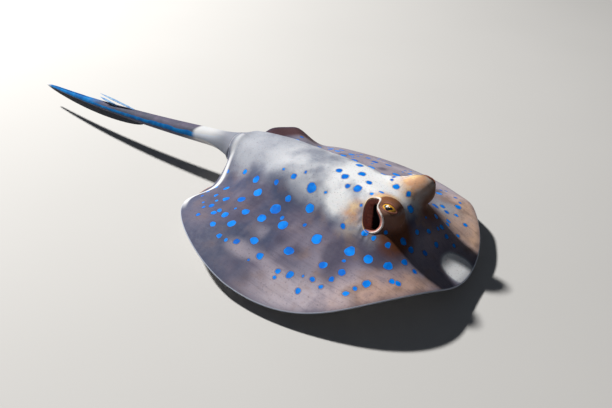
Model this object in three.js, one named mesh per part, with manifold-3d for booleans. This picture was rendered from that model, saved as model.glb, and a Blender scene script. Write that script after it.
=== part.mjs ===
// A life-size museum model of a blue-spotted ribbontail ray, gliding with its wings bowed down,
// held over a flat base by two short rods. Millimetres, +X to the snout, +Y to the ray's left, +Z up.
// The origin is the centre of the base's underside.
import * as THREE from "three";
import { mergeVertices } from "three/addons/utils/BufferGeometryUtils.js";
import Module from "manifold-3d";

const wasm = await Module();
wasm.setup();

// ---- Driving dimensions ----
const GAP = 0.3; // between neighbouring pieces
const RIDE_HEIGHT = 34; // of the disc's mid-plane at its hub, over the floor
const HUB = [-6, 0]; // plan position of the disc's hub

const DISC = {
  front: 157, // hub to snout
  rear: 152, // hub to the rear lobes
  half: 139, // hub to wing edge
  rim: 0.8, // half thickness of the margin
  lip: 0.995, // share of the way out where the margin starts to round over
  wing: 13, // rise of the fleshy wing over the margin
  belly: 4, // fall of the belly under the margin
};
// Powers that square off or sharpen the plan's two half ellipses, along and across.
const PLAN = { front: [0.93, 1.03], rear: [1.11, 0.89] };
const TRUNK = {
  height: 33, // of the thick body over the wings
  width: 42, // from the backbone out to the middle of its flank
  flank: 3, // power of the flank's fall to the wing
  brow: 80, // x where it starts to fall to the snout
  snout: 140, // x where it has come down to the wings
  loin: { lost: 0.42, power: 1.6 }, // share of its height lost by the tail
  waist: { width: 0.36, reach: 0.9 }, // its share of the full width by the tail, and where that is reached
};
// Hollows of the rear edge: place round the rim and width in degrees, and height, here their depth.
const HOLLOWS = [
  { at: 180, width: 24, height: 30 }, // where the tail leaves the disc
  { at: -162, width: 10, height: 9 }, // over the right pelvic fin, opened by the stroke
  { at: 162, width: 10, height: 3 },
];
// The margin's wave: one even droop, and swells round the rim, given like the hollows.
const WAVE = { droop: -25, power: 2.2 };
const SWELLS = [
  { at: 152, width: 18, height: 31 }, // left rear fold, lifted by the stroke
  { at: 172, width: 6, height: 5 },
  { at: 163, width: 8, height: 9 },
  { at: 142, width: 5, height: 4.5 }, // the fold's steep front end
  { at: 130.5, width: 6, height: -4 },
  { at: 122, width: 16, height: 2 },
  { at: 46, width: 8, height: 4 },
  { at: 40, width: 30, height: 12 },
  { at: -18, width: 13, height: 4.5 },
  { at: -35, width: 25, height: 24 },
  { at: -125, width: 30, height: 16 },
  { at: 180, width: 16, height: 25 }, // the tail holds the rear up
];

const EYE = { x: 92, y: 28, z: 43, radius: 8.5, width: 0.9, height: 0.84 };
const BROW_TURN = 12; // degrees that eyes, bumps and hoods are turned out from the line of the body
const ORBIT = { x: 88.5, y: 24, z: 36.5, radii: [14.5, 11.2, 13.2] }; // bump that carries the eye
const HOOD = { x: 74, y: 18.5, z: 30.5, radii: [22, 13.5, 13] }; // low swelling of the brow behind it
const SPIRACLE = { x: 76, y: 30.2, z: 31.3, length: 15.4, width: 8.6, depth: 9, tilt: 46, turn: 30 };

const TAIL = {
  root: -112, // x where it enters the disc, from the hub
  length: 362,
  z: 19, // height of its axis at the root
  fall: [-20, -5], // linear and square terms of its height
  bend: [-74, 44], // linear and square terms of its sideways bend
  ahead: 0.03, // share of its length that runs on into the trunk
  sink: 0.6, // how steeply its top dives there
  // Half width and half height: at the tip, added by the long taper, and added by the flare at the root.
  width: { tip: 1, taper: 10.4, flare: 7 },
  height: { tip: 0.9, taper: 9.6, flare: 2 },
  taperPower: 0.85,
  flareLength: 0.05, // as a share of its length
};
const TAIL_CUTS = [-TAIL.ahead, 0.34, 0.66, 1]; // shares of its length where its three lengths meet
const FOLD = { from: 0.42, to: 0.995, edge: 0.8, depth: 9.5, half: 0.6 }; // skin fold under the tail
const STING = { width: 3.6, tip: 0.25, taper: 0.7, thick: 1.3, teeth: 9, barb: 1.2, notch: 0.4 };
// Share of the tail where each sting is rooted, its length, offset from the axis, and its two tilts.
const UPPER_STING = { at: 0.46, length: 58, aside: 0.8, rise: 7, turn: 3 };
const LOWER_STING = { at: 0.54, length: 36, aside: -1.6, rise: 3, turn: -4 };

const PELVIC = {
  x: -114,
  y: 48,
  z: -13,
  length: 24, // half lengths of the lobe
  width: 10,
  thick: 1.4,
  broader: 0.25, // share by which its free end is wider
  droop: 10,
  spread: 76, // degrees out from the tail
};

const BASE = { length: 170, width: 96, thick: 6, corner: 22, bevel: 1.2 };
const ROD = { radius: 4, socket: 7, at: [52, -52] };

// ---- Small helpers ----
const deg = Math.PI / 180;
const bell = (v, width) => Math.exp(-((v / width) ** 2));
const power = (v, p) => Math.sign(v) * Math.max(Math.abs(v), 1e-9) ** p;
const turned = (t, from) => THREE.MathUtils.euclideanModulo(t - from + Math.PI, 2 * Math.PI) - Math.PI;

/** A closed three.js geometry as a manifold solid, in the part's own frame. */
function solid(geometry) {
  const bare = geometry.clone();
  bare.deleteAttribute("normal");
  bare.deleteAttribute("uv");
  const merged = mergeVertices(bare, 1e-4);
  return new wasm.Manifold(
    new wasm.Mesh({
      numProp: 3,
      vertProperties: merged.getAttribute("position").array,
      triVerts: new Uint32Array(merged.index.array),
    }),
  );
}

/** A manifold solid back as a three.js geometry. */
function geometryOf(made) {
  const mesh = made.getMesh();
  const geometry = new THREE.BufferGeometry();
  geometry.setAttribute("position", new THREE.BufferAttribute(mesh.vertProperties, 3));
  geometry.setIndex(new THREE.BufferAttribute(mesh.triVerts, 1));
  geometry.computeVertexNormals();
  return geometry;
}

/** Moves every vertex of a geometry by a function of its place. */
function reshaped(geometry, place) {
  const at = geometry.getAttribute("position");
  for (let i = 0; i < at.count; i++) {
    at.setXYZ(i, ...place(at.getX(i), at.getY(i), at.getZ(i)));
  }
  return geometry;
}

/** A solid ellipsoid turned about Z, faceted across and down. */
function ellipsoid(centre, radii, yaw, across, down) {
  const geometry = new THREE.SphereGeometry(1, across, down);
  geometry.rotateX(Math.PI / 2);
  geometry.scale(...radii);
  geometry.rotateZ(yaw);
  geometry.translate(...centre);
  return solid(geometry);
}

// ---- The disc: a sphere flattened into a bowed, wavy plate ----

/** Sum of bell-shaped swells at turn t round the rim. */
const swell = (t, swells) =>
  swells.reduce((sum, w) => sum + w.height * bell(turned(t, w.at * deg), w.width * deg), 0);

/** Plan outline of the disc: t runs from the snout over the left wing. */
function outline(t) {
  const c = Math.cos(t);
  const s = Math.sin(t);
  const [along, across] = c > 0 ? PLAN.front : PLAN.rear;
  const x = (c > 0 ? DISC.front : DISC.rear) * power(c, along);
  return [x + swell(t, HOLLOWS), DISC.half * power(s, across)];
}

/** Height that the swimming stroke gives the rim at t. */
const wave = (t) => WAVE.droop + swell(t, SWELLS);

/** Share of the trunk's full height at x: highest at the brow, low at the tail, none at the snout. */
function arch(x) {
  const { brow, snout, loin } = TRUNK;
  if (x > brow) return 0.5 + 0.5 * Math.cos(Math.PI * Math.min((x - brow) / (snout - brow), 1));
  return 1 - loin.lost * ((brow - x) / (brow + DISC.rear)) ** loin.power;
}

/** Share of the trunk's full width at x: it tapers to the tail. */
function girth(x) {
  const { width, reach } = TRUNK.waist;
  const back = THREE.MathUtils.clamp((x + DISC.rear) / (reach * DISC.rear), 0, 1);
  return width + (1 - width) * back * (2 - back);
}

/** Height of the back (side 1) or belly (side -1) at share s of the way from the hub to the rim at t. */
function skin(t, s, side) {
  const [ox, oy] = outline(t);
  const [x, y] = [ox * s, oy * s];
  const lift = wave(t) * s ** WAVE.power;
  if (side < 0) return [x, y, lift - DISC.rim - DISC.belly * (1 - s * s)];
  const flank = Math.exp(-((Math.abs(y) / (TRUNK.width * girth(x))) ** TRUNK.flank));
  const ridge = TRUNK.height * arch(x) * flank;
  return [x, y, lift + DISC.rim + DISC.wing * (1 - s * s) + ridge];
}

const RINGS = { spokes: 64, back: 13, belly: 5 };

function discSolid() {
  const all = RINGS.back + RINGS.belly;
  const sphere = new THREE.SphereGeometry(1, RINGS.spokes, all);
  sphere.rotateX(Math.PI / 2);
  const plate = reshaped(sphere, (x, y, z) => {
    const ring = Math.round((all * Math.acos(THREE.MathUtils.clamp(z, -1, 1))) / Math.PI);
    const t = ring % all === 0 ? 0 : Math.atan2(y, x);
    if (ring === RINGS.back) return [...outline(t), wave(t)];
    if (ring < RINGS.back) return skin(t, (ring / RINGS.back) * DISC.lip, 1);
    return skin(t, ((all - ring) / RINGS.belly) * DISC.lip, -1);
  });
  return solid(plate);
}

/** Height of the back or belly under a plan point, by the same rules as the disc. */
function heightAt(x, y, side) {
  const t = Math.atan2(y / DISC.half, x / (x > 0 ? DISC.front : DISC.rear));
  const [ox, oy] = outline(t);
  return skin(t, Math.min(Math.hypot(x, y) / Math.hypot(ox, oy), 1), side)[2];
}

// ---- Head features ----

/** An ellipsoid at a place on the head, mirrored by side and turned out with the brow. */
const browEllipsoid = (place, side, radii, across, down) =>
  ellipsoid([place.x, side * place.y, place.z], radii, side * BROW_TURN * deg, across, down);

const orbit = (side) => browEllipsoid(ORBIT, side, ORBIT.radii, 16, 10);
const hood = (side) => browEllipsoid(HOOD, side, HOOD.radii, 14, 8);

/** The eyeball looks out of the bump's outer side, a little forwards and up. */
const eyeball = (side, extra = 0) => {
  const r = EYE.radius + extra;
  return browEllipsoid(EYE, side, [r, r * EYE.width, r * EYE.height], 12, 10);
};

/** The breathing hole opens on the steep flank behind the eye. */
const spiracle = (side) => {
  const hole = new THREE.SphereGeometry(1, 14, 8);
  hole.scale(SPIRACLE.width, SPIRACLE.length, SPIRACLE.depth);
  hole.rotateX(-side * SPIRACLE.tilt * deg);
  hole.rotateZ(-side * SPIRACLE.turn * deg);
  hole.translate(SPIRACLE.x, side * SPIRACLE.y, SPIRACLE.z);
  return solid(hole);
};

/** A slot of rounded ends cut into the belly. */
function slot(x, y, length, width, depth, yaw) {
  const z = heightAt(x, y, -1);
  return ellipsoid([x, y, z], [width / 2, length / 2, depth], yaw, 8, 4);
}

const MOUTH = { x: 100, width: 27, gape: 3.4, depth: 2.4 };
const CURTAIN = { half: 12, length: 13, taper: 0.7, thick: 1.6, corner: 1.8, teeth: 6, tooth: 1.1 };
const GILLS = { count: 5, first: 78, step: 9.5, y: 35, spread: 2.6, length: 11, gape: 1.6, depth: 1.5 };
const GILL_TURN = { first: 14, step: 4 }; // degrees

function ventralSlots() {
  const cuts = [slot(MOUTH.x, 0, MOUTH.width, MOUTH.gape, MOUTH.depth, 0)];
  for (const side of [-1, 1]) {
    for (let i = 0; i < GILLS.count; i++) {
      const x = GILLS.first - i * GILLS.step;
      const y = side * (GILLS.y - i * GILLS.spread);
      const turn = side * (GILL_TURN.first + GILL_TURN.step * i) * deg;
      cuts.push(slot(x, y, GILLS.length, GILLS.gape, GILLS.depth, turn));
    }
  }
  return cuts;
}

/** The flap between the nostrils, draped over the belly, its fringed rear edge over the mouth. */
function nasalCurtain(extra = 0) {
  const half = CURTAIN.half + 3 * extra;
  const front = MOUTH.x + CURTAIN.length + extra;
  const fringe = 2 * CURTAIN.teeth;
  const shape = new THREE.Shape();
  shape.moveTo(front, -half * CURTAIN.taper);
  shape.lineTo(front, half * CURTAIN.taper);
  for (let i = 0; i <= fringe; i++) {
    const across = 1 - (2 * i) / fringe;
    const tooth = i % 2 || extra ? CURTAIN.tooth : 0;
    shape.lineTo(MOUTH.x + CURTAIN.corner * across ** 2 - extra - tooth, half * across);
  }
  const { thick } = CURTAIN;
  const flap = new THREE.ExtrudeGeometry(shape, { depth: thick + 2 * extra, bevelEnabled: false });
  return solid(reshaped(flap, (x, y, z) => [x, y, z + heightAt(x, y, -1) - thick / 2 - extra]));
}

// ---- Where the disc is parted ----

const HEAD_END = 32; // x where the head meets the trunk
const MIDDLE = { tail: 20, swell: 28, at: 80, spread: 100 }; // half width of the head and trunk
const bodyEdge = (x) => MIDDLE.tail + MIDDLE.swell * bell(x - MIDDLE.at, MIDDLE.spread);
const FAR = 210; // clear of the disc on every side

/** An upright prism with this plan outline. */
function prism(points) {
  const shape = new THREE.Shape(points.map(([x, y]) => new THREE.Vector2(x, y)));
  const block = new THREE.ExtrudeGeometry(shape, { depth: FAR, bevelEnabled: false });
  block.translate(0, 0, -FAR / 2);
  return solid(block);
}

/** The edge of the middle on one side, as a run of plan points from tail to snout. */
const edgeRun = (side, inset) => {
  const steps = 16;
  return Array.from({ length: steps + 1 }, (_, i) => {
    const x = FAR * ((2 * i) / steps - 1);
    return [x, side * (bodyEdge(x) - inset)];
  });
};

const middlePrism = () => prism([...edgeRun(-1, GAP / 2), ...edgeRun(1, GAP / 2).reverse()]);

const sidePrism = (side) => {
  const points = [...edgeRun(side, -GAP / 2), [FAR, side * FAR], [-FAR, side * FAR]];
  return prism(side > 0 ? points : points.reverse());
};

const slabPrism = (from, to) =>
  prism([
    [from, -FAR],
    [to, -FAR],
    [to, FAR],
    [from, FAR],
  ]);

// ---- Pelvic fins ----

/** A rounded lobe that shows behind the disc, beside the tail. */
function pelvicFin(side, extra = 0) {
  const lobe = new THREE.SphereGeometry(1, 18, 8);
  lobe.rotateX(Math.PI / 2);
  const { length, width, thick, broader } = PELVIC;
  reshaped(lobe, (x, y, z) => [
    (length + extra) * x,
    (width + extra) * y * (1 - broader * x), // the free end is at x = -1
    (thick + extra) * z - PELVIC.droop * (0.5 - 0.5 * x),
  ]);
  lobe.rotateZ(-side * PELVIC.spread * deg);
  lobe.translate(PELVIC.x, side * PELVIC.y, PELVIC.z);
  return solid(lobe);
}

// ---- Tail ----

/** Axis of the tail at share s of its length. */
function tailAxis(s) {
  return [
    TAIL.root - TAIL.length * s,
    TAIL.bend[0] * s + TAIL.bend[1] * s * s,
    TAIL.z + TAIL.fall[0] * s + TAIL.fall[1] * s * s,
  ];
}

/** Half width and half height of the tail at share s: a flared root, then a long taper. */
function tailSize(s) {
  const flare = bell(Math.max(s, 0), TAIL.flareLength);
  const taper = (1 - Math.max(s, 0)) ** TAIL.taperPower;
  const [w, h] = [TAIL.width, TAIL.height].map((of) => of.tip + of.taper * taper + of.flare * flare);
  return [w, h - TAIL.sink * TAIL.length * Math.max(-s, 0)];
}

function tailLength(from, to, extra = 0, rings = 10) {
  const tube = new THREE.CylinderGeometry(1, 1, 1, 12, rings);
  tube.rotateZ(Math.PI / 2); // the cylinder's axis now runs along -X from its far end
  reshaped(tube, (x, y, z) => {
    const s = from + (to - from) * (0.5 - x);
    const [cx, cy, cz] = tailAxis(s);
    const [w, h] = tailSize(s);
    return [cx, cy + (w + extra) * y, cz + (h + extra) * z];
  });
  return solid(tube);
}

function tailFold() {
  const steps = 22;
  const blade = new THREE.BoxGeometry(1, 1, 1, steps, 1, 1);
  reshaped(blade, (x, y, z) => {
    const along = 0.5 - x; // 0 at the front end
    const s = FOLD.from + (FOLD.to - FOLD.from) * along;
    const [cx, cy, cz] = tailAxis(s);
    const depth = FOLD.edge + FOLD.depth * Math.sin(Math.PI * along ** 0.75) ** 0.7;
    const under = cz - tailSize(s)[1] - GAP;
    return [cx, cy + 2 * FOLD.half * y * (0.85 + 0.3 * z), under - depth * (0.5 - z)];
  });
  return solid(blade);
}

/** A flat spine with saw teeth down both edges, lifted off the tail towards its tip. */
function sting({ at, length, aside, rise, turn }) {
  const shape = new THREE.Shape();
  const half = STING.width / 2;
  const edge = (side, i) => {
    const along = i / STING.teeth;
    const width = half * (1 - along) ** STING.taper + STING.tip;
    return [along * length, side * width];
  };
  shape.moveTo(0, -half);
  for (let i = 1; i < STING.teeth; i++) {
    const [x, y] = edge(-1, i);
    shape.lineTo(x, y);
    shape.lineTo(x - STING.barb, y + STING.notch);
  }
  shape.lineTo(length, 0);
  for (let i = STING.teeth - 1; i > 0; i--) {
    const [x, y] = edge(1, i);
    shape.lineTo(x - STING.barb, y - STING.notch);
    shape.lineTo(x, y);
  }
  shape.lineTo(0, half);
  const blade = new THREE.ExtrudeGeometry(shape, { depth: STING.thick, bevelEnabled: false });
  const [ax, ay, az] = tailAxis(at);
  blade.rotateY(-rise * deg);
  blade.rotateZ(Math.PI + turn * deg);
  blade.translate(ax, ay + aside, az + tailSize(at)[1] + GAP);
  return solid(blade);
}

// ---- Stand ----

function standBase() {
  const [l, w, r] = [BASE.length / 2, BASE.width / 2, BASE.corner];
  const shape = new THREE.Shape();
  shape.absarc(l - r, w - r, r, 0, Math.PI / 2);
  shape.absarc(r - l, w - r, r, Math.PI / 2, Math.PI);
  shape.absarc(r - l, r - w, r, Math.PI, 1.5 * Math.PI);
  shape.absarc(l - r, r - w, r, 1.5 * Math.PI, 2 * Math.PI);
  const { bevel } = BASE;
  const plate = new THREE.ExtrudeGeometry(shape, {
    depth: BASE.thick - 2 * bevel,
    bevelThickness: bevel,
    bevelSize: bevel,
    bevelOffset: -bevel,
    bevelSegments: 1,
    curveSegments: 7,
  });
  plate.translate(0, 0, bevel);
  return solid(plate);
}

/** Rod from the base's top into a socket in the belly. */
function rod(x, extra = 0) {
  const belly = RIDE_HEIGHT + heightAt(x - HUB[0], -HUB[1], -1);
  const top = belly + ROD.socket + extra;
  const low = BASE.thick + GAP;
  const bar = new THREE.CylinderGeometry(ROD.radius + extra, ROD.radius + extra, top - low, 24);
  bar.rotateX(Math.PI / 2);
  bar.translate(x, 0, (top + low) / 2);
  return solid(bar);
}

// ---- Materials and assembly ----
const finish = (color, roughness, metalness = 0) =>
  new THREE.MeshStandardMaterial({ color, roughness, metalness });
const hide = finish(0x8a7f80, 0.55);
const tailHide = finish(0x5d6672, 0.5);
const foldHide = finish(0x3d4148, 0.55);
const spine = finish(0x9fb9d6, 0.4);
const iris = finish(0xc89128, 0.15);
const blackMetal = finish(0x1d1e20, 0.45, 0.2);
const steel = finish(0xb9bcc0, 0.3, 0.9);

const model = new THREE.Group();
const ray = new THREE.Group();
ray.position.set(HUB[0], HUB[1], RIDE_HEIGHT);
model.add(ray);

function add(parent, name, made, material) {
  const mesh = new THREE.Mesh(geometryOf(made), material);
  mesh.name = name;
  parent.add(mesh);
}

const SIDES = { right: -1, left: 1 };
const sides = Object.values(SIDES);
const subtractAll = (from, cutters) => cutters.reduce((left, cutter) => left.subtract(cutter), from);

let disc = sides.reduce((made, side) => made.add(hood(side)).add(orbit(side)), discSolid());
disc = subtractAll(disc, [...sides.map((side) => spiracle(side)), ...ventralSlots()]);

const SOCKET_END = 0.12; // share of the tail, clear of the disc
const tailSocket = tailLength(-TAIL.ahead - GAP / TAIL.length, SOCKET_END, GAP, 8);
const finSockets = sides.map((side) => pelvicFin(side, GAP));
const rodSockets = ROD.at.map((x) => rod(x, GAP).translate(-HUB[0], -HUB[1], -RIDE_HEIGHT));

const middle = disc.intersect(middlePrism());
const head = subtractAll(middle.intersect(slabPrism(HEAD_END + GAP / 2, FAR)), [
  ...sides.map((side) => eyeball(side, GAP)),
  nasalCurtain(GAP),
  ...rodSockets,
]);
add(ray, "head", head, hide);
const trunk = subtractAll(middle.intersect(slabPrism(-FAR, HEAD_END - GAP / 2)), [
  tailSocket,
  ...finSockets,
  ...rodSockets,
]);
add(ray, "trunk", trunk, hide);
add(ray, "nasal_curtain", nasalCurtain(), hide);

for (const [word, side] of Object.entries(SIDES)) {
  const wing = subtractAll(disc.intersect(sidePrism(side)), [tailSocket, ...finSockets]);
  add(ray, `pectoral_fin_${word}`, wing, hide);
  add(ray, `pelvic_fin_${word}`, pelvicFin(side).subtract(tailSocket), hide);
  add(ray, `eye_${word}`, eyeball(side), iris);
}

const gapShare = GAP / TAIL.length / 2;
["tail_base", "tail_middle", "tail_tip"].forEach((name, i) => {
  const from = TAIL_CUTS[i] + (i ? gapShare : 0);
  const to = TAIL_CUTS[i + 1] - (i < 2 ? gapShare : 0);
  add(ray, name, tailLength(from, to), tailHide);
});
add(ray, "tail_fold", tailFold(), foldHide);
add(ray, "tail_sting_upper", sting(UPPER_STING), spine);
add(ray, "tail_sting_lower", sting(LOWER_STING), spine);

add(model, "stand_base", standBase(), blackMetal);
["front", "rear"].forEach((word, i) => add(model, `stand_rod_${word}`, rod(ROD.at[i]), steel));

export default model;
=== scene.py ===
import bmesh
import bpy
import numpy as np
from mathutils import Matrix, Vector


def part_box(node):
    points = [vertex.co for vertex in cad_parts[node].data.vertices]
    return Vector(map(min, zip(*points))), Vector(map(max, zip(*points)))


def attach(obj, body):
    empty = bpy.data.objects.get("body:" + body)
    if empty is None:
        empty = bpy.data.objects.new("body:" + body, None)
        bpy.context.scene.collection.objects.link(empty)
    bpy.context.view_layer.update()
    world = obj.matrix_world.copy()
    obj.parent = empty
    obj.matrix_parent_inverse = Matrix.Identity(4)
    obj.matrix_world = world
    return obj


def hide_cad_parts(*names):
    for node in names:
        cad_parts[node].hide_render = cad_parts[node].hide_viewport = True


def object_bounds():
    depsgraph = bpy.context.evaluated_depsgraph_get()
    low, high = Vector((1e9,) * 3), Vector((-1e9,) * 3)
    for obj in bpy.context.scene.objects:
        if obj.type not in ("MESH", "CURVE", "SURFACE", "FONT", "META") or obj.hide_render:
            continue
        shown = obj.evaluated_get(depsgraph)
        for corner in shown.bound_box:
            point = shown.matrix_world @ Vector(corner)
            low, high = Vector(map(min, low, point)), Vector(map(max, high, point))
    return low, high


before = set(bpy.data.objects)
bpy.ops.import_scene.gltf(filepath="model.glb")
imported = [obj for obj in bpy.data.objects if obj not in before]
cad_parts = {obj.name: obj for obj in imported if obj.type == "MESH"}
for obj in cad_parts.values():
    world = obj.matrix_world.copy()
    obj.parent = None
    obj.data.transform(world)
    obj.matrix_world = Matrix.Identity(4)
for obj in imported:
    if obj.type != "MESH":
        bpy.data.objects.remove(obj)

cad_low, cad_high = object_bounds()


# ---- Skin: its shape -------------------------------------------------------------------------
# One hide covers the head, trunk, wings, pelvic fins and tail of the ray. It is smooth and soft,
# thick over the backbone and eyes, and thins to a blade at the edge of the wings.

EYE_PLACE = np.array([0.092, 0.028, 0.043])  # left eye, from the disc's hub
eye_low, eye_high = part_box("eye_left")
HUB = (np.array(eye_low) + np.array(eye_high)) / 2 - EYE_PLACE

FRONT, REAR, HALF = 0.157, 0.152, 0.139  # hub to snout, rear lobes and wing edge
RIM, WING, BELLY = 0.0008, 0.013, 0.004  # edge's half thickness, rise of the wing, fall of the belly
TRUNK_HEIGHT, TRUNK_WIDTH, BROW, SNOUT = 0.033, 0.042, 0.080, 0.140
SWELLS = [  # place round the edge and width in degrees, height
    (152, 18, 0.031), (163, 8, 0.009), (172, 6, 0.005), (142, 5, 0.0045), (130.5, 6, -0.004),
    (122, 16, 0.002), (46, 8, 0.004), (40, 30, 0.012), (-18, 13, 0.0045), (-35, 25, 0.024),
    (-125, 30, 0.016), (180, 16, 0.025),
]  # fmt: skip
HOLLOWS = [(180, 24, 0.030), (-162, 10, 0.009), (162, 10, 0.003)]  # of the rear edge, given alike
FRONT_POWERS, REAR_POWERS = (0.93, 1.03), (1.11, 0.89)  # lengthwise and sideways, of the outline
DROOP, WAVE_POWER = -0.025, 2.2
EDGE_ROUND, TRUNK_ROUND = 0.0011, 0.014  # how far in from the edge each is rounded off
LOIN_FALL, LOIN_POWER, TAIL_GIRTH = 0.42, 1.6, 0.36  # how the trunk sinks and narrows to the rear
TAIL_ROOT, TAIL_LENGTH = -0.112, 0.362
TAIL_SWAY = (0.0, -0.074, 0.044)  # sideways place of the tail, by powers of the share of its length
TAIL_SINK = (0.019, -0.020, -0.005)  # height of the tail, given alike
TAIL_TIP, TAIL_FULL, TAIL_FLARE = (0.0010, 0.0009), (0.0104, 0.0096), (0.007, 0.002)  # half sizes
TAIL_CORNER = np.radians(175)  # where the edge of the disc turns on to the tail


def bell(v, width):
    """A bell curve: one at zero, falling as the square of v over width."""
    return np.exp(-((v / width) ** 2))


def signed_power(v, p):
    """The size of v to a power, with the sign of v kept."""
    return np.sign(v) * np.maximum(np.abs(v), 1e-9) ** p


def ramp(v, low, high):
    """A soft step: zero below low, one above high, and level at both ends."""
    k = np.clip((v - low) / (high - low), 0, 1)
    return k * k * (3 - 2 * k)


def soft_max(a, b, soft):
    """The larger of a and b, with the corner between them rounded over the length soft."""
    return (a + b + np.sqrt((a - b) ** 2 + soft**2)) / 2


def swell(t, swells):
    """Sum at turn t of bell curves round the rim, each of a place and width in degrees and a height."""
    total = np.zeros(np.shape(t))
    for at, width, rise in swells:
        apart = np.mod(t - np.radians(at) + np.pi, 2 * np.pi) - np.pi
        total = total + rise * bell(apart, np.radians(width))
    return total


def outline(t):
    """Plan edge of the disc at turn t from the snout: two half superellipses, notched at the tail and
    hollowed beside it over the pelvic fins."""
    c, s = np.cos(t), np.sin(t)
    x = np.where(c > 0, FRONT * signed_power(c, FRONT_POWERS[0]), REAR * signed_power(c, REAR_POWERS[0]))
    y = HALF * np.where(c > 0, signed_power(s, FRONT_POWERS[1]), signed_power(s, REAR_POWERS[1]))
    return x + swell(t, HOLLOWS), y


def rim_height(t):
    """Height of the edge at turn t: an even droop and a few bell shaped swells round the rim."""
    return DROOP + swell(t, SWELLS)


turn_steps = np.linspace(-np.pi, np.pi, 4001)
edge_x, edge_y = outline(turn_steps)
edge_heading = np.arctan2(edge_y, edge_x)


def hub_place(x, y):
    """Turn, share of the way out, and length left to the edge, of a plan point seen from the hub."""
    turn = np.interp(np.arctan2(y, x), edge_heading, turn_steps)
    far = np.hypot(*outline(turn))
    out = np.hypot(x, y)
    return turn, out / far, far - out


def disc_heights(x, y):
    """Height of the back and of the belly: the edge's wave grows as a power of the share of the way
    out, the wing is a shallow dome on it, and the trunk is a flat-topped ridge along the backbone that
    falls to the snout as half a cosine wave."""
    turn, share, inset = hub_place(x, y)
    over = np.maximum(-inset, 0)
    inside = np.minimum(share, 1)
    lift = rim_height(turn) * inside**WAVE_POWER
    edge = RIM * np.sqrt(1 - (1 - np.clip(inset / EDGE_ROUND, 0, 1)) ** 2)
    fall = np.clip((x - BROW) / (SNOUT - BROW), 0, 1)
    loin = np.clip((BROW - x) / (BROW + REAR), 0, None)
    arch = 0.5 * (1 + np.cos(np.pi * fall)) * (1 - LOIN_FALL * loin**LOIN_POWER)
    back = np.clip((x + REAR) / (0.9 * REAR), 0, 1)
    girth = TRUNK_WIDTH * (TAIL_GIRTH + (1 - TAIL_GIRTH) * back * (2 - back))
    rounding = np.sqrt(1 - (1 - np.clip(inset / TRUNK_ROUND, 0, 1)) ** 2)
    ridge = TRUNK_HEIGHT * arch * np.exp(-((np.abs(y) / girth) ** 3)) * rounding
    dome = 1 - inside**2
    return lift + edge + WING * dome + ridge - 2 * over, lift - edge - BELLY * dome + 2 * over


def tail_axis(share):
    """Middle of the tail at a share of its length: a line bent sideways and down by squares."""
    y, z = (start + slope * share + bend * share**2 for start, slope, bend in (TAIL_SWAY, TAIL_SINK))
    return TAIL_ROOT - TAIL_LENGTH * share, y, z


def tail_size(share):
    """Half width and half height of the tail: a flared root, then a long taper to the tip."""
    taper = np.clip(1 - share, 0, 1) ** 0.85
    root = bell(share, 0.05)
    sizes = zip(TAIL_TIP, TAIL_FULL, TAIL_FLARE)
    return tuple(tip + full * taper + flare * root for tip, full, flare in sizes)


corner_x = float(outline(TAIL_CORNER)[0])
corner_share = (TAIL_ROOT - corner_x) / TAIL_LENGTH
corner_z = float(rim_height(TAIL_CORNER))


def tail_heights(x, y):
    """Top and underside of the tail over a plan point: an ellipse across the tail whose widest level
    starts at the disc's edge and climbs to the tail's middle; ahead of its root it sinks in the trunk."""
    share = (TAIL_ROOT - x) / TAIL_LENGTH
    buried = np.maximum(-share, 0) * TAIL_LENGTH
    share = np.clip(share, 0, 1)
    _, axis_y, axis_z = tail_axis(share)
    half, tall = tail_size(share)
    across = np.abs(y - axis_y) / half
    level = axis_z + (corner_z - axis_z) * (1 - ramp(share, corner_share, 0.14))
    rise = np.sqrt(np.clip(1 - across**2, 0, 1))
    beyond = 3 * np.maximum(across - 1, 0) * half
    top = level + (axis_z + tall - level) * rise - beyond - 0.6 * buried
    under = level - (level - axis_z + tall) * rise + beyond + 0.6 * buried
    return top, under


# The hide is a tube round the ray: rings across it, from the snout, over the disc, down the tail.
# Its lines are closest over the eyes and breathing holes.
RING_TURNS = ([1, 34, 102, 192], [1.0, 47, 71, 175])  # ring number to turn of its outer ends, degrees
TAIL_RINGS, TAIL_END, SPINE_END = 84, 0.997, -0.118
JOIN_SOFT = 0.005  # how softly the tail and the disc run together
BACK_LINES = ([0, 8, 58, 88, 92, 96], [0, 0.07, 0.37, 0.965, 0.992, 1])  # line to share of half width
BELLY_LINES = ([0, 34, 37, 40], [0, 0.93, 0.985, 1])
back_last, belly_last = BACK_LINES[0][-1], BELLY_LINES[0][-1]

ring_turn = np.radians(np.interp(np.arange(1, RING_TURNS[0][-1] + 1), *RING_TURNS))
out_x, out_y = outline(ring_turn)
spine_lag = np.clip((ring_turn - np.pi / 2) / (TAIL_CORNER - np.pi / 2), 0, 1)
spine_x = np.where(ring_turn < np.pi / 2, out_x, SPINE_END * spine_lag)
tail_share = corner_share + (TAIL_END - corner_share) * (np.arange(1, TAIL_RINGS + 1) / TAIL_RINGS) ** 1.2
axis_x, axis_y, _ = tail_axis(tail_share)
half_width, _ = tail_size(tail_share)

mid_x = np.concatenate([spine_x, axis_x])[:, None]
mid_y = np.concatenate([np.zeros(len(ring_turn)), axis_y])[:, None]
right_x, right_y = outline(-ring_turn)
left_reach, right_reach = (
    np.concatenate([[x - spine_x, np.abs(y)], [0 * half_width, half_width]], axis=1)[..., None]
    for x, y in ((out_x, out_y), (right_x, right_y))
)
rounder = np.concatenate([np.zeros(len(ring_turn)), ramp(np.arange(TAIL_RINGS), 0, 16)])[:, None]


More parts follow.
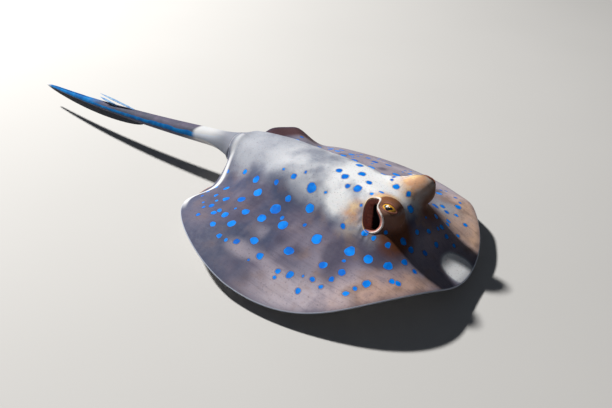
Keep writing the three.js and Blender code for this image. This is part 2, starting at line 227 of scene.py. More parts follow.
def half_rings(lines, knots):
    """Plan points and heights across every ring. A line's share of the half width comes from its knots
    on the disc, and is the sine of an even turn on the tail. Back and belly meet at the edge."""
    last = knots[0][-1]
    flat = np.interp(np.abs(lines), *knots)
    round_tail = np.sin(np.pi / 2 * np.abs(lines) / last)
    share = np.sign(lines) * (flat + (round_tail - flat) * rounder)
    reach_x, reach_y = np.where(share > 0, left_reach, right_reach)
    x = mid_x + reach_x * np.abs(share)
    y = mid_y + reach_y * share
    soft = JOIN_SOFT * (1 - np.abs(share) ** 4)
    back, belly = disc_heights(x, y)
    top, under = tail_heights(x, y)
    back = soft_max(back, top, soft)
    belly = -soft_max(-belly, -under, soft)
    closed = np.abs(share) > 0.99999
    middle = (back + belly) / 2
    return x, y, np.where(closed, middle, back), np.where(closed, middle, belly)


back_line = np.arange(-back_last, back_last + 1)
belly_line = np.arange(belly_last - 1, -belly_last, -1)
bx, by, bz, _ = half_rings(back_line, BACK_LINES)
ux, uy, _, uz = half_rings(belly_line, BELLY_LINES)
back_rows = np.stack([bx, by, bz], axis=-1)
belly_rows = np.stack([ux, uy, uz], axis=-1)

# Behind each eye the brow runs back as a low hood, and each eye stands in a bump of its own. A point
# is moved out from a seat inside such a swelling until it lies on the larger of the body and it.
HOOD = np.array([0.074, 0.0185, 0.0305])
HOOD_SIZE = np.array([0.022, 0.0135, 0.0130])
HOOD_SEAT = np.array([0.074, 0.0165, 0.020])
HOOD_SOFT, ORBIT_SOFT, LID_SOFT = 0.005, 0.0045, 0.002
ORBIT = np.array([0.0885, 0.024, 0.0365])
ORBIT_SIZE = np.array([0.0145, 0.0112, 0.0132])
ORBIT_SEAT = np.array([0.0885, 0.0235, 0.026])
EYE_SIZE = np.array([0.0085, 0.00765, 0.00714])
EYE_SEAT = EYE_PLACE - [0, 0.003, 0.004]
LID, EYE_DIP = 0.0007, 0.30  # thickness of the lids, and the share of the way the skin drops behind
YAW = np.radians(12)
PULL_FULL, PULL_END = 0.003, 0.014  # how far off a swelling the skin goes wholly with it, and at all


def unit(v):
    """Vectors brought to a length of one."""
    return v / np.linalg.norm(v, axis=-1, keepdims=True)


def across_to(side):
    """What a place on the left is multiplied by to stand on a side: its sideways part is turned."""
    return np.array([1, side, 1])


def yawed(points, side):
    """Points turned level about the vertical, as the eyes and their bumps are, out to the side."""
    c, s = np.cos(side * YAW), np.sin(side * YAW)
    x, y, z = np.moveaxis(points, -1, 0)
    return np.stack([x * c + y * s, -x * s + y * c, z], axis=-1)


def swollen(points, side, centre, size, seat, soft):
    """Points pushed out from the seat on to an ellipsoid, where it stands outside them: the distance
    from the seat becomes the soft larger of its own and the ellipsoid's in the same direction."""
    mirror = across_to(side)
    away = points - seat * mirror
    far = np.linalg.norm(away, axis=-1)
    ray = yawed(unit(away), side) / size
    start = yawed((seat - centre) * mirror, side) / size
    a = (ray**2).sum(-1)
    b = (ray * start).sum(-1)
    c = (start**2).sum() - 1
    hit = (-b + np.sqrt(np.maximum(b * b - a * c, 0))) / a
    near = ramp(far, hit + PULL_END, hit + PULL_FULL)
    moved = far + (soft_max(far, hit, soft) - far) * near
    return seat * mirror + away * (moved / far)[..., None]


for side in (-1, 1):
    back_rows = swollen(back_rows, side, HOOD, HOOD_SIZE, HOOD_SEAT, HOOD_SOFT)
    back_rows = swollen(back_rows, side, ORBIT, ORBIT_SIZE, ORBIT_SEAT, ORBIT_SOFT)

# The lids close over the eyeball but for an oval that looks out to the side, and there the skin
# drops inside the ball.
LOOK = unit(np.array([0.10, 0.58, 0.81]))
LOOK_ALONG = unit(np.cross(LOOK, [0.0, 0.0, 1.0]))
LOOK_UP = np.cross(LOOK_ALONG, LOOK)
GAPE = np.array([0.88, 0.47])  # half length and half height of the oval, as shares of the eyeball
OUTSIDE = 9.0  # stands for any place well outside an opening, whose edge is at one


def eye_oval(points, side):
    """How far round the lids' oval a point lies, one on the lids' edge, as seen along the look."""
    mirror = across_to(side)
    ray = unit(yawed(points - EYE_PLACE * mirror, side) * mirror / EYE_SIZE)
    along, up, out = ray @ LOOK_ALONG, ray @ LOOK_UP, ray @ LOOK
    return np.where(out > 0, np.hypot(along / GAPE[0], up / GAPE[1]), OUTSIDE)


for side in (-1, 1):
    back_rows = swollen(back_rows, side, EYE_PLACE, EYE_SIZE + LID, EYE_SEAT, LID_SOFT)
    sunk = EYE_DIP * (1 - ramp(eye_oval(back_rows, side), 0.80, 1.0))[..., None]
    back_rows = back_rows + (EYE_PLACE * across_to(side) - back_rows) * sunk

# Each breathing hole is a wide slanting opening on the flank behind the eye. Its floor falls from
# the rear edge to a slit under the front edge, whose pale lip bends back and forth like an S.
HOLE = np.array([0.0760, 0.0302, 0.0313])
HOLE_SIZE = np.array([0.0086, 0.0154])
HOLE_DEPTH = 0.013
HOLE_TURN, HOLE_TILT = 30, 46  # degrees
HOLE_POWER, HOLE_NEAR = 2.6, 0.016  # bluntness of its oval, and how far off its plane the oval counts
FOLDS, FOLD_RISE = 15, 0.0004  # small skin folds round the hole
RIBS, RIB_RISE = 26, 0.00065  # ribs over its floor: radians of their wave to its half length, height
RIM_BLUR = 0.004  # squared reach, in half sizes, over which the height of its rim is averaged


def hole_axes(side):
    """Short axis, long axis and outward normal of the breathing hole on one side."""
    turned = Matrix.Rotation(np.radians(-side * HOLE_TURN), 3, "Z")
    turned = turned @ Matrix.Rotation(np.radians(-side * HOLE_TILT), 3, "X")
    short, long, normal = (np.array(turned.col[k]) for k in range(3))
    return short, long * side, normal


def lip_bend(along):
    """How far the front edge stands from the long axis, next to an oval's: in above, out below."""
    pinch = 0.52 * bell(along + 0.40, 0.40)
    return 1 - pinch + 0.20 * bell(along - 0.55, 0.42) + 0.12 * bell(along + 1, 0.3)


def oval_edge(across, along):
    """How far out a place is in a blunt oval, one on its edge: a superellipse."""
    return (np.abs(across) ** HOLE_POWER + np.abs(along) ** HOLE_POWER) ** (1 / HOLE_POWER)


def hole_place(points, side):
    """A point's places along the hole's short and long axes, in half sizes, and its height over it."""
    short, long, normal = hole_axes(side)
    away = points - HOLE * across_to(side)
    along = away @ long / HOLE_SIZE[1]
    across = away @ short / HOLE_SIZE[0]
    return np.where(across > 0, across / lip_bend(along), across), along, away @ normal


def even_turns(count):
    """Turns at even steps round a circle."""
    return np.linspace(0, 2 * np.pi, count, endpoint=False)


hole_depths, hole_edges, hole_rims = [], [], []
rim_turns = even_turns(96)
rim_far = 1 / oval_edge(np.cos(rim_turns), np.sin(rim_turns))
rim_short, rim_long = np.cos(rim_turns) * rim_far, np.sin(rim_turns) * rim_far
for side in (-1, 1):
    short, long, normal = hole_axes(side)
    across, along, high = hole_place(back_rows, side)
    edge = np.where(np.abs(high) < HOLE_NEAR, oval_edge(across, along), OUTSIDE)
    fold = np.sin(FOLDS * np.arctan2(along, across) + 0.8) * bell(edge - 1.32, 0.20)
    fold = FOLD_RISE * fold * ramp(across, 0.4, -0.4)
    near = edge < 1.6
    apart_across = across[near][:, None] - rim_short
    apart_along = along[near][:, None] - rim_long
    weight = np.exp(-(apart_across**2 + apart_along**2) / RIM_BLUR)
    rim_high = (weight * high[near][:, None]).sum(0) / weight.sum(0)
    hole_rims.append(
        HOLE * across_to(side)
        + np.outer(rim_short * np.where(rim_short > 0, lip_bend(rim_long), 1) * HOLE_SIZE[0], short)
        + np.outer(rim_long * HOLE_SIZE[1], long)
        + np.outer(rim_high, normal)
    )
    floor = (1 - ramp(edge, 0.60, 1.0)) * (0.26 + 0.74 * ramp(across, -0.70, 0.55))
    drop = HOLE_DEPTH * np.where(edge < 1, floor + 0.12 * (1 - ramp(edge, 0.88, 1.0)), 0)
    ribs = RIB_RISE * np.sin(RIBS * along) * ramp(floor, 0.1, 0.5)
    back_rows = back_rows + (fold - drop - ribs)[..., None] * normal
    hole_depths.append(drop / HOLE_DEPTH)
    hole_edges.append(edge)
hole_depth = np.maximum(*hole_depths)
hole_edge = np.minimum(*hole_edges)

# Marks on the hide that its colours follow, one number to a point: margin is the length left to the
# wing's edge, in millimetres; under is one below; cloud is over zero on dark clouds and under it on
# pale ones, partly the hide's own mottling and partly painted shade and painted light; trunk is one
# along the back's pale band, partly painted light, and on patches of painted light; turn and tail
# place it round the disc and down the tail; stripe is its height on the tail's side; warm is the tan
# about the eyes, dusk the brown about them with painted shade on the right eye's bump and below it,
# and deep is painted shade inside openings; lip and fold are edges and the tail's fin.
MARKS = dict(
    margin=30, under=0, cloud=0, trunk=0, turn=0, tail=0, stripe=0, warm=0, dusk=0, deep=0, lip=0, fold=0
)


def tube(rows, **marks):
    """A closed surface over rings of points: quads join each ring to the next, and each end ring
    closes on its own middle. Marks given as one number, or ring by ring, are spread over its points."""
    rings, around = rows.shape[:2]
    number = np.arange(rings * around).reshape(rings, around)
    beside = np.roll(number, -1, axis=1)
    quads = np.stack([number[:-1], number[1:], beside[1:], beside[:-1]], axis=-1).reshape(-1, 4)
    first, last = rings * around, rings * around + 1
    ends = [
        np.stack([np.full(around, first), number[0], beside[0]], axis=-1),
        np.stack([np.full(around, last), beside[-1], number[-1]], axis=-1),
    ]
    points = np.concatenate([rows.reshape(-1, 3), rows[:1].mean(1), rows[-1:].mean(1)])
    spread = {}
    for name, usual in MARKS.items():
        mark = np.broadcast_to(marks.get(name, usual), (rings, around))
        spread[name] = np.concatenate([mark.ravel(), mark[:1].mean(1), mark[-1:].mean(1)])
    return points, quads.tolist() + np.concatenate(ends).tolist(), spread


def loop(path, radius, around=10, **marks):
    """A closed loop of round section along a closed path: at each point a circle is laid square to
    the path, across the way out from the loop's middle. Its marks are one number, or one to a point."""
    ahead = unit(np.roll(path, -1, axis=0) - np.roll(path, 1, axis=0))
    out = path - path.mean(0)
    out = unit(out - (out * ahead).sum(1)[:, None] * ahead)
    up = np.cross(ahead, out)
    turn = even_turns(around)[None, :, None]
    circle = np.cos(turn) * out[:, None] + np.sin(turn) * up[:, None]
    rows = path[:, None] + circle * radius[:, None, None]
    number = np.arange(rows.shape[0] * around).reshape(-1, around)
    beside = np.roll(number, -1, axis=1)
    quads = np.stack([number, np.roll(number, -1, 0), np.roll(beside, -1, 0), beside], axis=-1)
    spread = {}
    for name, usual in MARKS.items():
        mark = np.reshape(marks.get(name, usual), (-1, 1))
        spread[name] = np.broadcast_to(mark, (len(path), around)).ravel()
    return rows.reshape(-1, 3), quads.reshape(-1, 4).tolist(), spread


def band(path, wide, tall, around=16, **marks):
    """A closed band of oval section along an open path: its half width lies level across the path,
    and its half height square to both."""
    ahead = unit(np.gradient(path, axis=0))
    across = unit(np.cross([0.0, 0.0, 1.0], ahead))
    up = np.cross(ahead, across)
    turn = even_turns(around)[None, :, None]
    rows = np.cos(turn) * across[:, None] * np.reshape(wide, (-1, 1, 1))
    rows = rows + np.sin(turn) * up[:, None] * np.reshape(tall, (-1, 1, 1))
    return tube(path[:, None] + rows, **marks)


rows = np.concatenate([back_rows, belly_rows], axis=1)
plan_x = np.concatenate([bx, ux], axis=1)
plan_y = np.concatenate([by, uy], axis=1)
turn_mark, _, inset = hub_place(plan_x, plan_y)
on_tail = np.arange(len(rows))[:, None] >= len(ring_turn)
ring_share = np.concatenate([np.zeros(len(ring_turn)), tail_share])[:, None]
edge_line = np.concatenate([np.abs(back_line) / back_last, 2 - np.abs(belly_line) / belly_last])
belly_side = np.concatenate([np.zeros(back_line.size), np.ones(belly_line.size)])
hole_pad = np.zeros((len(rows), belly_line.size))


def patches(places):
    """Soft round patches on the hide, one field for each: an amount that falls off as a bell curve."""
    fields = []
    for *place, width, amount, sides in places:
        middles = [np.array(place) / 1000 * across_to(side) for side in sides]
        away = np.min([np.linalg.norm(rows - middle, axis=-1) for middle in middles], axis=0)
        fields.append(amount * bell(away, width / 1000))
    return fields


# Each has a place and width in millimetres, from the hub, then its strength and sides.
BOTH, RIGHT, LEFT = (-1, 1), (-1,), (1,)
WARM_PATCHES = [(85, 19, 45, 17, 1.2, BOTH), (58, 36, 30, 14, 0.9, BOTH)]
# Brown about the eyes, darkest on the bumps' outer sides and fronts: partly the hide's own brown and partly
# painted shade. The two on the right only are painted shade, on the right eye's bump and on the head below
# it.
DUSK_PATCHES = [
    (103, 31, 28, 21, 1.3, BOTH), (92, 35, 42, 13, 1.3, BOTH),
    (90, 26, 52, 14, 1.6, RIGHT), (102, 37, 17, 17, 0.8, RIGHT),
]  # fmt: skip
# Patches of painted light: one on the right of the back, a pool of light on the snout's tip between the
# eyes' shadows, and a lit band on the left wing in front.
PAINTED_LIGHT_PATCHES = [(42, 32, 34, 22, 1.3, RIGHT), (147, 8, -15, 11.5, 7.0, LEFT), (97, 64, 1, 25, 0.6, LEFT)]
# Dark clouds are partly the hide's mottling and partly painted shade, and pale ones partly its mottling and
# partly painted light; the last, on the right only, is painted shade on the head below the right eye.
CLOUDS = [  # dark ones, and pale ones with a strength below zero
    (12, 81, 3, 9, 0.6, BOTH), (64, 68, 6, 14, 1.0, BOTH), (9, 123, -12, 13, 0.6, BOTH),
    (-39, 60, 13, 12, 0.6, BOTH), (72, 47, 18, 12, 0.4, BOTH), (36, 82, 1, 10, 0.6, BOTH),
    (-38, 82, 4, 11, 0.5, BOTH), (-8, 83, 3, 12, -0.5, BOTH), (100, 99, -5, 11, -0.7, BOTH),
    (50, 124, -16, 15, -0.9, BOTH), (75, 90, -2, 11, 0.5, BOTH), (99, 47, 13, 16, 1.5, RIGHT),
]  # fmt: skip

# A pale streak also runs near the wing's edge. The back is palest along a band that ends at the
# eyes, and is greyer over the loins and along the backbone. The band is partly the back's own pale
# colour and partly painted light, where the lamp falls on the back and on the wedge between the eyes.
streak = bell(np.abs(plan_y) - 0.107 - 0.1 * np.abs(plan_x - 0.01), 0.010)
streak = streak * ramp(plan_x, -0.040, -0.010) * ramp(plan_x, 0.06, 0.03)
pale_half = TRUNK_WIDTH * (0.95 + 0.22 * ramp(plan_x, -0.03, 0.05))
paleness = bell(np.abs(plan_y) ** 1.5, pale_half**1.5)
paleness = paleness * ramp(plan_x, -0.16, -0.09) * ramp(plan_x, 0.110, 0.088)
paleness = paleness - 0.35 * bell(plan_x + 0.078, 0.035) * bell(plan_y, 0.022)
paleness = paleness - 0.28 * bell(plan_x + 0.002, 0.030) * bell(plan_y, 0.020)
hide_parts = [
    tube(
        rows,
        margin=np.where(on_tail, 30, np.clip(1000 * inset, 0, 60)),
        under=belly_side,
        cloud=np.sum(patches(CLOUDS), axis=0) - 0.85 * streak,
        trunk=np.max([paleness, *patches(PAINTED_LIGHT_PATCHES)], axis=0),
        turn=turn_mark,
        tail=ring_share,
        stripe=np.cos(np.pi / 2 * edge_line) * on_tail,
        warm=np.max(patches(WARM_PATCHES), axis=0),
        dusk=np.max(patches(DUSK_PATCHES), axis=0),
        deep=np.concatenate([hole_depth, hole_pad], axis=1),
        lip=np.concatenate([bell(hole_edge - 1.02, 0.06), hole_pad], axis=1),
    )
]

# A rounded lip runs round each hole, thickest in front, and a lid round each eye, thickest above.
front = ramp(np.cos(rim_turns), -0.6, 0.4)
above = np.clip(np.sin(rim_turns), 0, 1)
along, up = GAPE[0] * np.cos(rim_turns), GAPE[1] * np.sin(rim_turns)
out = np.sqrt(np.maximum(1 - along**2 - up**2, 0))
ray = np.outer(along, LOOK_ALONG) + np.outer(up, LOOK_UP) + np.outer(out, LOOK)
for side, rim in zip((-1, 1), hole_rims):
    hide_parts.append(loop(rim, 0.0004 + 0.0006 * front, lip=0.35 + 0.65 * front, warm=0.8))
    mirror = across_to(side)
    lid = yawed(ray * (EYE_SIZE + 0.0002) * mirror, -side) + EYE_PLACE * mirror
    hide_parts.append(loop(lid, 0.0008 + 0.0003 * above, dusk=0.9, deep=0.1))

# The pelvic fins are two rounded lobes that show behind the disc, either side of the tail.
PELVIC = np.array([-0.114, 0.048, -0.013])
PELVIC_LENGTH, PELVIC_WIDTH, PELVIC_THICK, PELVIC_DROOP = 0.024, 0.0100, 0.0014, 0.010
PELVIC_SPREAD = np.radians(76)
step = np.sin(np.linspace(-0.5, 0.5, 40) * np.pi * 0.996)
for side in (-1, 1):
    along = np.stack([-step * PELVIC_LENGTH, 0 * step, -PELVIC_DROOP * (0.5 + 0.5 * step)], axis=-1)
    c, s = np.cos(-side * PELVIC_SPREAD), np.sin(-side * PELVIC_SPREAD)
    path = np.stack([along[:, 0] * c, along[:, 0] * s, along[:, 2]], axis=-1) + PELVIC * [1, side, 1]
    lobe = np.sqrt(1 - step**2)
    wide = PELVIC_WIDTH * (1 + 0.25 * step) * lobe
    turn = even_turns(32)
    to_edge = 1000 * wide[:, None] * (1 - np.abs(np.cos(turn)))
    edge_tan = 1.5 * bell(to_edge, 1.8)
    hide_parts.append(
        band(path, wide, PELVIC_THICK * lobe, 32, margin=to_edge, under=np.sin(turn) < -0.1, warm=edge_tan)
    )

# Under the last part of the tail hangs a thin skin fold, deepest past the stings, and over it runs
# a low keel.
FOLD_FROM, FOLD_DEPTH, FOLD_HALF = 0.42, 0.0095, 0.0006
along = np.linspace(0.004, 0.996, 110)
fold_share = FOLD_FROM + (0.995 - FOLD_FROM) * along
x, y, z = tail_axis(fold_share)
depth = 0.0008 + FOLD_DEPTH * np.sin(np.pi * along**0.75) ** 0.7
half, tall = tail_size(fold_share)
path = np.stack([x, y, z - tall - depth / 2 + 0.0009], axis=-1)
hide_parts.append(band(path, FOLD_HALF, depth / 2 + 0.0009, 20, fold=1, tail=fold_share[:, None]))
keel = ramp(fold_share, 0.66, 0.74) * ramp(fold_share, 1.0, 0.9)
path = np.stack([x, y, z + tall * 0.92], axis=-1)
hide_parts.append(band(path, FOLD_HALF, 0.0002 + 0.0014 * keel, 12, tail=fold_share[:, None], stripe=1))

# On the belly a fringed flap lies between the nostrils over the mouth's two lips, and five pairs
# of gill slits, each under a small flap, curve back from it.
MOUTH_X, MOUTH_HALF = 0.100, 0.0135
FLAP_HALF, FLAP_LENGTH = 0.012, 0.013
GILLS, GILL_X, GILL_Y, GILL_STEP, GILL_HALF = 5, 0.078, 0.035, 0.0095, 0.0055


def on_belly(x, y, sunk):
    """Points on the belly over plan points, sunk into it by a length."""
    return np.stack([x, y, disc_heights(x, y)[1] + sunk], axis=-1)


step = np.sin(np.linspace(-0.5, 0.5, 60) * np.pi * 0.99)
bow = np.sqrt(1 - step**2)
# The mouth's middle band, the nostril slits and the gill slits' cuts carry the deep mark, as painted shade.
for offset, deep in ((0.0016, 0), (-0.0016, 0), (0.0, 1)):
    path = on_belly(MOUTH_X + 0.0025 * (1 - step**2) + offset * bow, MOUTH_HALF * step, 0.0002)
    size = 0.0012 * bow if not deep else 0.0006 * bow
    hide_parts.append(band(path, size, size, 12, under=1, lip=0.5 * (1 - deep), deep=deep))
fringe = 0.0010 * np.abs(np.sin(np.linspace(0, 7 * np.pi, 60)))
front = MOUTH_X + FLAP_LENGTH
rear = MOUTH_X + 0.0018 * step**2 - fringe
narrowing = 0.85 + 0.15 * bow
path = on_belly((front + rear) / 2, FLAP_HALF * step * narrowing, -0.0002)
hide_parts.append(band(path, (front - rear) / 2, 0.0009, 24, under=1))
for side in (-1, 1):
    turn = even_turns(32)
    ring_x = front - 0.001 + 0.0024 * np.cos(turn)
    ring_y = side * (FLAP_HALF - 0.0005) + 0.0017 * np.sin(turn)
    hide_parts.append(loop(on_belly(ring_x, ring_y, 0.0), np.full(32, 0.0006), under=1, lip=0.5))
    path = on_belly(front - 0.001 + 0.0022 * step, side * (FLAP_HALF - 0.0005) + 0 * step, 0.0)
    hide_parts.append(band(path, 0.0015 * bow, 0.0003 * bow, 12, under=1, deep=1))
    slit, slit_bow = step[::2], bow[::2]
    for gill in range(GILLS):
        lean = side * np.radians(14 + 4 * gill)
        y = side * (GILL_Y - 0.0026 * gill) + GILL_HALF * slit * np.cos(lean)
        x = GILL_X - GILL_STEP * gill - GILL_HALF * slit * np.sin(lean) - 0.0018 * slit_bow**2
        flap, cut = on_belly(x + 0.0009, y, 0.0), on_belly(x - 0.0003, y, 0.0)
        hide_parts.append(band(flap, 0.0012 * slit_bow, 0.0007 * slit_bow, 10, under=1))
        hide_parts.append(band(cut, 0.0007 * slit_bow, 0.0004 * slit_bow, 10, under=1, deep=1))


def make_piece(name, parts):
    """One mesh object of several closed surfaces, moved out to the hub, with its faces turned
    outward and its marks as attributes on its points."""
    points = np.concatenate([part[0] for part in parts]) + HUB
    starts = np.cumsum([0] + [len(part[0]) for part in parts])
    faces = [[start + k for k in face] for start, part in zip(starts, parts) for face in part[1]]
    mesh = bpy.data.meshes.new(name)
    mesh.from_pydata(points.tolist(), [], faces)
    shell = bmesh.new()
    shell.from_mesh(mesh)
    bmesh.ops.recalc_face_normals(shell, faces=shell.faces)
    shell.to_mesh(mesh)
    shell.free()
    mesh.shade_smooth()
    for mark in parts[0][2]:
        values = np.concatenate([np.asarray(part[2][mark], float) for part in parts])
        mesh.attributes.new(mark, "FLOAT", "POINT").data.foreach_set("value", values)
    piece = bpy.data.objects.new(name, mesh)
    bpy.context.scene.collection.objects.link(piece)
    return piece


skin = make_piece("skin", hide_parts)
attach(skin, "root")
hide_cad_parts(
    "head", "trunk", "nasal_curtain", "pectoral_fin_left", "pectoral_fin_right",
    "pelvic_fin_left", "pelvic_fin_right", "tail_base", "tail_middle", "tail_tip", "tail_fold",
)


# ---- Skin: its markings and finish -----------------------------------------------------------
# Mauve-grey hide mottled with brown, cream along the back and tan about the eyes, set with bright
# blue spots that shrink towards the edge. The edge is a thin pale line and the belly is white.

# Each spot is a place and a width in millimetres, from the hub, most on the ray's right side.
LARGE_SPOTS = [
    (8, -32, 10), (-14, -58, 11), (4, -68, 10), (17, -45, 9), (41, -64, 10), (28, -86, 9), (75, -60, 10),
    (93, -58, 8), (110, -53, 8), (-18, -73, 9), (-44, -51, 9), (-54, -64, 8), (-37, -75, 8), (-6, -95, 8),
    (9, -104, 7), (63, -82, 7), (82, -80, 7), (44, -103, 7), (106, -78, 7), (50, -18, 8), (95, 1, 7),
]  # fmt: skip
MIDDLE_SPOTS = [
    (-57, -40, 8), (-9, -46, 7), (40, 2, 7), (-52, -88, 7), (-38, -93, 8), (-88, -53, 7), (-70, -70, 7),
    (-20, -105, 6), (108, -28, 6), (115, -26, 6), (122, -13, 6), (118, -40, 6), (74, 8, 6), (78, -43, 6),
    (78, -89, 5), (-31, -39, 6), (-16, -30, 6), (21, -8, 6), (31, -12, 7), (53, -5, 6), (40, -20, 5),
    (71, -11, 4), (87, 9, 5), (56, -46, 5), (100, -40, 5), (122, 7, 5), (-80, -33, 6), (-54, -102, 6),
    (-65, -91, 6), (66, -19, 4), (63, -30, 3), (24, -31, 3), (-7, -23, 3), (-32, -27, 3), (109, -8, 5),
    (113, 7, 5), (115, 21, 4), (122, 26, 5), (131, 27, 4), (127, 41, 4), (94, -35, 4), (87, -43, 4),
    (128, -39, 4), (121, -63, 5), (126, -61, 5), (96, 64, 5), (103, 60, 5), (111, 66, 4), (112, 47, 5),
    (-104, -72, 4), (-109, -60, 5), (-108, -49, 4), (-107, -32, 5), (-87, -68, 5), (-76, -84, 6),
    (-82, -89, 4), (-62, -86, 5), (-78, -100, 4), (-90, -83, 3), (-2, -62, 4), (33, -106, 5), (34, -112, 4),
    (-29, -109, 4), (-38, -109, 5), (60, -111, 5), (75, -99, 4), (101, -87, 4), (97, -94, 5), (64, -97, 5),
]  # fmt: skip
SMALL_COUNTS, SMALL_WIDTHS, SPOT_GAP = {-1: 6, 1: 30}, (2.4, 3.9), 3.2  # a count for each side

rng = np.random.default_rng(7)
spots = [np.array(spot, float) for spot in LARGE_SPOTS + MIDDLE_SPOTS]


def is_clear(spot, gap):
    """Whether a spot's edge keeps a gap from every other spot's, in millimetres."""
    others = np.array(spots)
    return (np.hypot(*(others[:, :2] - spot[:2]).T) - (others[:, 2] + spot[2]) / 2).min() > gap


def is_bare(x, y):
    """Whether a place lies on either eye's bump or on the snout's tip, in millimetres."""
    return (abs(x - 92) < 16 and 16 < abs(y) < 42) or (x > 128 and abs(y) < 36)


for x, y, width in LARGE_SPOTS + MIDDLE_SPOTS:
    spot = np.array([x, -y, width * 0.92]) + rng.normal(0, 1, 3) * [2.5, 2.5, 0.4]
    if y < -10 and not is_bare(x, y) and is_clear(spot, 1.5):
        spots.append(spot)
for side, count in SMALL_COUNTS.items():
    placed = 0
    while placed < count:
        t, share = rng.uniform(0.05, 2.95), rng.uniform(0.42, 0.93)
        edge_point = np.array(outline(side * t))
        spot = np.array([*(1000 * share * edge_point), rng.uniform(*SMALL_WIDTHS)])
        if is_clear(spot, SPOT_GAP) and not is_bare(*spot[:2]):
            spots.append(spot)
            placed += 1


class Finish:
    """A material and its node tree. Each call adds one node and gives back its output."""

    def __init__(self, name):
        self.material = bpy.data.materials.new(name)
        self.material.use_nodes = True
        self.tree = self.material.node_tree
        self.shader = self.tree.nodes["Principled BSDF"]
        self.place = self.tree.nodes.new("ShaderNodeTexCoord").outputs["Object"]
        self.colour = None

    def fill(self, socket, value):
        """Links a socket to an output, or sets it to a plain value."""
        if isinstance(value, bpy.types.NodeSocket):
            self.tree.links.new(value, socket)
        elif socket.type == "RGBA":
            socket.default_value = (*value, 1)
        else:
            socket.default_value = value

    def maths(self, operation, *values):
        """One arithmetic step on numbers."""
        node = self.tree.nodes.new("ShaderNodeMath")
        node.operation = operation
        for socket, value in zip(node.inputs, values):
            self.fill(socket, value)
        return node.outputs[0]

    def times(self, first, *others):
        """The product of numbers."""
        for value in others:
            first = self.maths("MULTIPLY", first, value)
        return first

    def vector(self, operation, *values, out=0):
        """One arithmetic step on places."""
        node = self.tree.nodes.new("ShaderNodeVectorMath")
        node.operation = operation
        for socket, value in zip(node.inputs, values):
            self.fill(socket, value)
        return node.outputs[out]

    def mark(self, name):
        """A number carried by the mesh's points."""
        node = self.tree.nodes.new("ShaderNodeAttribute")
        node.attribute_name = name
        return node.outputs["Fac"]

    def step(self, value, low, high, to_low=0.0, to_high=1.0):
        """A soft step of a value, from to_low at low to to_high at high."""
        node = self.tree.nodes.new("ShaderNodeMapRange")
        node.interpolation_type = "SMOOTHSTEP"
        for socket, number in zip(node.inputs, (value, low, high, to_low, to_high)):
            self.fill(socket, number)
        return node.outputs[0]

    def noise(self, scale, detail=3.0, place=None, roughness=0.5, out="Fac"):
        """Smooth random cloudiness, its grain about one over the scale, in metres."""
        node = self.tree.nodes.new("ShaderNodeTexNoise")
        self.fill(node.inputs["Vector"], place or self.place)
        node.inputs["Scale"].default_value = scale
        node.inputs["Detail"].default_value = detail
        node.inputs["Roughness"].default_value = roughness
        return node.outputs[out]

    def mix(self, share, first, second):
        """A colour between two, by a share."""
        node = self.tree.nodes.new("ShaderNodeMix")
        node.data_type = "RGBA"
        for name, value in (("Factor_Float", share), ("A_Color", first), ("B_Color", second)):
            self.fill(next(s for s in node.inputs if s.identifier == name), value)
        return next(s for s in node.outputs if s.identifier == "Result_Color")

    def lay(self, share, colour):
        """Lays a colour over the finish's own, by a share."""
        self.colour = self.mix(share, self.colour, colour)

    def bump(self, height, distance, strength=1.0):
        """Surface relief of a height, in shares of a distance in metres."""
        node = self.tree.nodes.new("ShaderNodeBump")
        node.inputs["Distance"].default_value = distance
        node.inputs["Strength"].default_value = strength
        self.fill(node.inputs["Height"], height)
        self.fill(self.shader.inputs["Normal"], node.outputs[0])

    def finish(self, colour, roughness, **plain):
        """The shader's colour and roughness, and its plain settings."""
        self.fill(self.shader.inputs["Base Color"], colour)
        self.fill(self.shader.inputs["Roughness"], roughness)
        for name, value in plain.items():
            self.fill(self.shader.inputs[name.replace("_", " ")], value)
        return self.material


SLATE, PLUM, LILAC = (0.046, 0.060, 0.115), (0.112, 0.100, 0.150), (0.420, 0.375, 0.430)
ROSE, FAWN, UMBER = (0.420, 0.270, 0.210), (0.680, 0.450, 0.300), (0.048, 0.046, 0.080)
FRECKLE, STREAK = (0.050, 0.045, 0.065), (0.050, 0.045, 0.075)
BROWN, CREAM, PEARL = (0.210, 0.140, 0.115), (0.300, 0.322, 0.378), (0.760, 0.780, 0.800)
TAN, YELLOW = (0.520, 0.260, 0.120), (0.800, 0.600, 0.300)
DUSK_BROWN, FOLD_SHADE = (0.125, 0.043, 0.016), (0.066, 0.030, 0.034)
HOLE_BROWN, HOLE_SHADE, LIP_PALE = (0.340, 0.140, 0.110), (0.006, 0.005, 0.008), (0.700, 0.640, 0.620)
SPOT_BLUE, SPOT_DEEP, SPOT_HALO = (0.000, 0.230, 0.820), (0.000, 0.120, 0.560), (0.070, 0.055, 0.090)
RIM_PALE, BELLY_WHITE, BELLY_GREY = (0.500, 0.560, 0.680), (0.720, 0.700, 0.680), (0.420, 0.390, 0.400)
TAIL_GREY, FOLD_GREY = (0.060, 0.068, 0.100), (0.030, 0.034, 0.046)
TAIL_BLUE, TAIL_DEEP = (0.006, 0.170, 0.460), (0.004, 0.100, 0.330)
TIP_PALE = (0.500, 0.520, 0.540)

hide = Finish("hide")
under, margin, tail, turn = (hide.mark(name) for name in ("under", "margin", "tail", "turn"))
clouds, mottle, grain = hide.noise(17, 3), hide.noise(48, 4), hide.noise(260, 3)
forward = hide.vector("DOT_PRODUCT", hide.place, (1.0, 0.0, 0.0), out=1)
leftward = hide.vector("DOT_PRODUCT", hide.place, (0.0, 1.0, 0.0), out=1)

